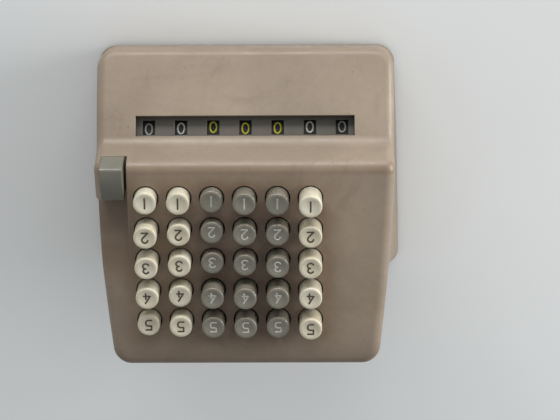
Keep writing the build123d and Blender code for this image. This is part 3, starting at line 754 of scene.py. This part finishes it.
class ADDING_PG_keys(bpy.types.PropertyGroup):
    cream: colour_property("Cream", "Colour of the cream key caps", (0.63, 0.595, 0.485))
    grey: colour_property("Grey", "Colour of the grey key caps", (0.200, 0.184, 0.145))
    radius: length_property("Cap radius", "Radius of a key cap", 6.65 * MM)
    edge: length_property("Cap edge", "Rounding of a cap's top edge", 0.9 * MM)
    dish_radius: length_property("Dish radius", "Radius of the finger dish", 5.0 * MM)
    dish_depth: length_property("Dish depth", "Depth of the finger dish", 0.7 * MM)
    figure: length_property("Figure height", "Height of the figure in the dish", 6.0 * MM)
    stroke: length_property("Figure stroke", "Pen width of the figure", 1.05 * MM)
    wire: length_property("Spring wire", "Radius of the return springs' wire", 0.35 * MM)


class ADDING_PG_register(bpy.types.PropertyGroup):
    mask: colour_property("Mask", "Colour of the plate between the figures", (0.108, 0.099, 0.082))
    lever: colour_property("Lever", "Colour of the clear lever", (0.150, 0.145, 0.115))
    figure: length_property("Figure height", "Height of a figure on a wheel", 6.6 * MM)
    stroke: length_property("Figure stroke", "Stroke of a figure on a wheel", 0.95 * MM)


class ADDING_PG_stage(bpy.types.PropertyGroup):
    floor: colour_property("Floor", "Colour of the floor", (0.86, 0.88, 0.885))
    key_light: power_property("Key light", "Power of the large soft light", 24.5)
    side_light: power_property("Side light", "Power of the light at the operator's left", 21.0)
    ambient: strength_property("Ambient", "Strength of the light from all round", 0.50)
    rear_ambient: strength_property("Rear ambient", "Strength of the light from behind", 0.36)


# ---------------------------------------------------------------- operators


class ADDING_OT_materials(bpy.types.Operator):
    """Makes every material of the machine"""

    bl_idname = "adding.materials"
    bl_label = "Make materials"

    def execute(self, context):
        scene = context.scene
        enamel("Beige enamel", tuple(scene.adding_shell.colour))
        # near-black painted shade for the inside of the shell and the key holes
        enamel("Inside primer", (0.022, 0.018, 0.015))
        cream, grey = tuple(scene.adding_keys.cream), tuple(scene.adding_keys.grey)
        moulded("Cream plastic", cream, tuple(c * f for c, f in zip(cream, (0.86, 0.82, 0.74))), 0.36, 0.12)
        moulded("Grey plastic", grey, tuple(c * 0.82 for c in grey), 0.30, 0.0, 0.35)
        lever = tuple(scene.adding_register.lever)
        moulded("Lever plastic", lever, tuple(c * 0.92 for c in lever), 0.38, 0.0, 0.25)
        moulded("Black wheel", (0.012, 0.012, 0.012), (0.022, 0.021, 0.019), 0.50, 0.0, 0.05)
        enamel("Grey mask", tuple(scene.adding_register.mask))
        ink("Dark figure", (0.085, 0.060, 0.042))
        ink("Pale figure", (0.42, 0.42, 0.38), 0.4, 0.35)
        ink("White figure", (0.66, 0.66, 0.58), 0.5, 0.12)
        ink("Dim figure", (0.46, 0.46, 0.41), 0.5, 0.12)
        ink("Yellow figure", (0.68, 0.62, 0.05), 0.5, 0.12)
        metal("Zinc plate", (0.50, 0.50, 0.48), 0.38)
        metal("Dull plate", (0.16, 0.155, 0.145), 0.52)
        metal("Bright steel", (0.58, 0.57, 0.55), 0.24, (0.04, 1.0, 1.0), 0.25)
        metal("Screw steel", (0.46, 0.45, 0.43), 0.32, (1.0, 1.0, 1.0), 0.45)
        metal("Spring steel", (0.42, 0.41, 0.40), 0.30, (1.0, 1.0, 0.2), 0.30)
        rubber("Foot rubber")
        return {"FINISHED"}


class ADDING_OT_shell(bpy.types.Operator):
    """Builds the enamelled shell"""

    bl_idname = "adding.shell"
    bl_label = "Build shell"

    def execute(self, context):
        material = bpy.data.materials["Beige enamel"]
        obj = cad_copy("casing", "cover", material, context.scene.adding_shell.bevel, 2)
        obj.data.materials.append(bpy.data.materials["Inside primer"])
        # faces inside the shell and round the key holes take the near-black painted shade
        for polygon in obj.data.polygons:
            if is_unpainted(polygon.center, polygon.normal):
                polygon.material_index = 1
        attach(obj, "machine")
        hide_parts("casing")
        return {"FINISHED"}


class ADDING_OT_chassis(bpy.types.Operator):
    """Finishes the base, feet, frames, plates and shafts inside the shell"""

    bl_idname = "adding.chassis"
    bl_label = "Build chassis"

    def execute(self, context):
        parts = {
            "base_plate": ("Zinc plate", "zinc_plate", 0.25 * MM),
            "rubber_feet": ("Foot rubber", "foot_rubber", 0.35 * MM),
            "foot_screws": ("Screw steel", "screw_steel", 0.2 * MM),
            "frame_screws": ("Screw steel", "screw_steel", 0.2 * MM),
            "left_frame": ("Zinc plate", "zinc_plate", 0.2 * MM),
            "right_frame": ("Zinc plate", "zinc_plate", 0.2 * MM),
            "upper_guide_plate": ("Dull plate", "zinc_plate", 0.0),
            "lower_guide_plate": ("Zinc plate", "zinc_plate", 0.0),
            "tie_rods": ("Bright steel", "bright_steel", 0.2 * MM),
            "sector_shaft": ("Bright steel", "bright_steel", 0.2 * MM),
        }
        for node, (material, slot, bevel) in parts.items():
            obj = cad_copy(node, node + "_finished", bpy.data.materials[material], bevel, 2)
            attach(obj, "machine")
            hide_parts(node)
        for column in range(COLUMNS):
            node = f"sector_column{column + 1}"
            obj = cad_copy(node, f"sector_{column + 1}", bpy.data.materials["Zinc plate"], 0.0, 1)
            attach(obj, node)
            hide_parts(node)
        return {"FINISHED"}


class ADDING_OT_keys(bpy.types.Operator):
    """Builds the thirty keys"""

    bl_idname = "adding.keys"
    bl_label = "Build keys"

    def execute(self, context):
        for column in range(COLUMNS):
            for row in range(ROWS):
                build_key(column, row, context.scene.adding_keys)
        return {"FINISHED"}


class ADDING_OT_springs(bpy.types.Operator):
    """Winds a return spring round each key's stem"""

    bl_idname = "adding.springs"
    bl_label = "Wind springs"

    def execute(self, context):
        tree = coil_tree()
        wire = context.scene.adding_keys.wire
        material = bpy.data.materials["Spring steel"]
        for column in range(COLUMNS):
            for row in range(ROWS):
                free = GUIDE_DEPTH - (CAP_LENGTH - KEY_HEIGHTS[column][row] * MM) - 0.2 * MM
                length = free - 2 * wire
                x = PITCH * (3 - column)
                place = panel_matrix(x, row * PITCH, GUIDE_DEPTH - wire)
                values = {
                    "Turns": round(length / (2.1 * MM)),
                    "Radius": 4.1 * MM,
                    "Length": length,
                    "Wire radius": wire,
                    "Material": material,
                }
                obj = baked(f"spring_c{column + 1}_d{row + 1}", tree, values, place)
                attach(obj, "machine")
                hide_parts("key_springs")
                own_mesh(obj)
        return {"FINISHED"}


class ADDING_OT_register(bpy.types.Operator):
    """Builds the number wheels, their mask and shaft, and the clear lever"""

    bl_idname = "adding.register"
    bl_label = "Build register"

    def execute(self, context):
        settings = context.scene.adding_register
        for number in range(1, WHEELS + 1):
            build_wheel(number, settings)
        mask = cad_copy("window_mask", "mask", bpy.data.materials["Grey mask"], 0.25 * MM, 2)
        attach(mask, "machine")
        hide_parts("window_mask")
        shaft = cad_copy("register_shaft", "wheel_shaft", bpy.data.materials["Bright steel"], 0.2 * MM, 2)
        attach(shaft, "clear_lever")
        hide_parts("register_shaft")
        lever = cad_copy("clear_lever", "lever", bpy.data.materials["Lever plastic"], 1.1 * MM, 4)
        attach(lever, "clear_lever")
        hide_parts("clear_lever")
        return {"FINISHED"}


def area_light(name, size, power, location, target):
    """A soft rectangular light that looks at a point."""
    data = bpy.data.lights.new(name, "AREA")
    data.shape = "RECTANGLE"
    data.size, data.size_y = size
    data.energy = power
    data.color = SOFT_WHITE
    obj = bpy.data.objects.new(name, data)
    obj.location = location
    obj.rotation_mode = "QUATERNION"
    obj.rotation_quaternion = (Vector(target) - Vector(location)).to_track_quat("-Z", "Y")
    bpy.context.scene.collection.objects.link(obj)


def studio_world(front, rear):
    """Soft light from all round, brighter in front of the operator's side and above than at the rear."""
    world = bpy.data.worlds.new("Studio")
    world.use_nodes = True
    tree = world.node_tree
    coordinates = tree.nodes.new("ShaderNodeTexCoord")
    axes = tree.nodes.new("ShaderNodeSeparateXYZ")
    tree.links.new(coordinates.outputs["Generated"], axes.inputs["Vector"])
    height = product(tree, axes.outputs["Z"], 0.45)
    tilt = math_node(tree, "ADD", height, product(tree, axes.outputs["Y"], -0.9))
    background = tree.nodes["Background"]
    background.inputs["Color"].default_value = (0.97, 0.99, 1.0, 1.0)
    tree.links.new(remap(tree, tilt, -0.75, 0.85, rear, front), background.inputs["Strength"])
    return world


class ADDING_OT_stage(bpy.types.Operator):
    """Sets up the floor, the lights and the camera"""

    bl_idname = "adding.stage"
    bl_label = "Set stage"

    def execute(self, context):
        settings = context.scene.adding_stage
        builder = bmesh.new()
        bmesh.ops.create_grid(builder, x_segments=1, y_segments=1, size=4.0)
        material, tree, shader, vector = new_material("Floor paint")
        tone = remap(tree, noise(tree, vector, 3.0, 4, 0.5), 0.3, 0.7, 0.97, 1.03)
        floor_colour = mix(tree, 1.0, tuple(settings.floor), combine_grey(tree, tone), "MULTIPLY")
        tree.links.new(floor_colour, shader.inputs["Base Color"])
        shader.inputs["Roughness"].default_value = 0.55
        shader.inputs["Specular IOR Level"].default_value = 0.25
        floor = finished("floor", builder, [material])
        area_light("key_light", (1.5, 0.6), settings.key_light, (0.1, -1.5, 0.18), (0.0, 0.0, 0.06))
        area_light("side_light", (0.9, 0.4), settings.side_light, (-1.5, -0.3, 0.30), (0.0, 0.0, 0.05))
        context.scene.world = studio_world(settings.ambient, settings.rear_ambient)
        camera = bpy.data.cameras.new("camera")
        camera.lens = LENS
        camera.sensor_width = 36.0
        camera.clip_start, camera.clip_end = 0.05, 20.0
        obj = bpy.data.objects.new("camera", camera)
        right = Vector((-0.99995, 0.00772, -0.00590))
        up = Vector((-0.00376, -0.86695, -0.49838))
        back = right.cross(up).normalized()
        up = back.cross(right).normalized()
        rotation = Matrix((right.normalized(), up, back)).transposed()
        obj.matrix_world = Matrix.Translation(CAMERA_PLACE) @ rotation.to_4x4()
        context.scene.collection.objects.link(obj)
        context.scene.camera = obj
        context.scene.view_settings.view_transform = "Standard"
        return {"FINISHED"}


class ADDING_PT_panel(bpy.types.Panel):
    """Lists the operators and settings of the adding machine"""

    bl_label = "Adding Machine"
    bl_idname = "ADDING_PT_panel"
    bl_space_type = "VIEW_3D"
    bl_region_type = "UI"
    bl_category = "Adding Machine"

    def draw(self, context):
        scene = context.scene
        for group in (scene.adding_shell, scene.adding_keys, scene.adding_register, scene.adding_stage):
            box = self.layout.box()
            for key in group.bl_rna.properties.keys():
                if key not in ("rna_type", "name"):
                    box.prop(group, key)
        for operator in OPERATORS:
            self.layout.operator(operator.bl_idname)


OPERATORS = (
    ADDING_OT_materials,
    ADDING_OT_shell,
    ADDING_OT_chassis,
    ADDING_OT_keys,
    ADDING_OT_springs,
    ADDING_OT_register,
    ADDING_OT_stage,
)
GROUPS = {
    "adding_shell": ADDING_PG_shell,
    "adding_keys": ADDING_PG_keys,
    "adding_register": ADDING_PG_register,
    "adding_stage": ADDING_PG_stage,
}


def register():
    """Registers the settings, operators and panel."""
    for name, group in GROUPS.items():
        bpy.utils.register_class(group)
        setattr(bpy.types.Scene, name, bpy.props.PointerProperty(type=group))
    for cls in (*OPERATORS, ADDING_PT_panel):
        bpy.utils.register_class(cls)


def unregister():
    """Removes what register added."""
    for cls in reversed((*OPERATORS, ADDING_PT_panel)):
        bpy.utils.unregister_class(cls)
    for name, group in GROUPS.items():
        delattr(bpy.types.Scene, name)
        bpy.utils.unregister_class(group)


def main():
    """Builds everything in order."""
    register()
    bpy.ops.adding.materials()
    bpy.ops.adding.shell()
    bpy.ops.adding.chassis()
    bpy.ops.adding.keys()
    bpy.ops.adding.springs()
    bpy.ops.adding.register()
    bpy.ops.adding.stage()


if __name__ == "__main__":
    main()
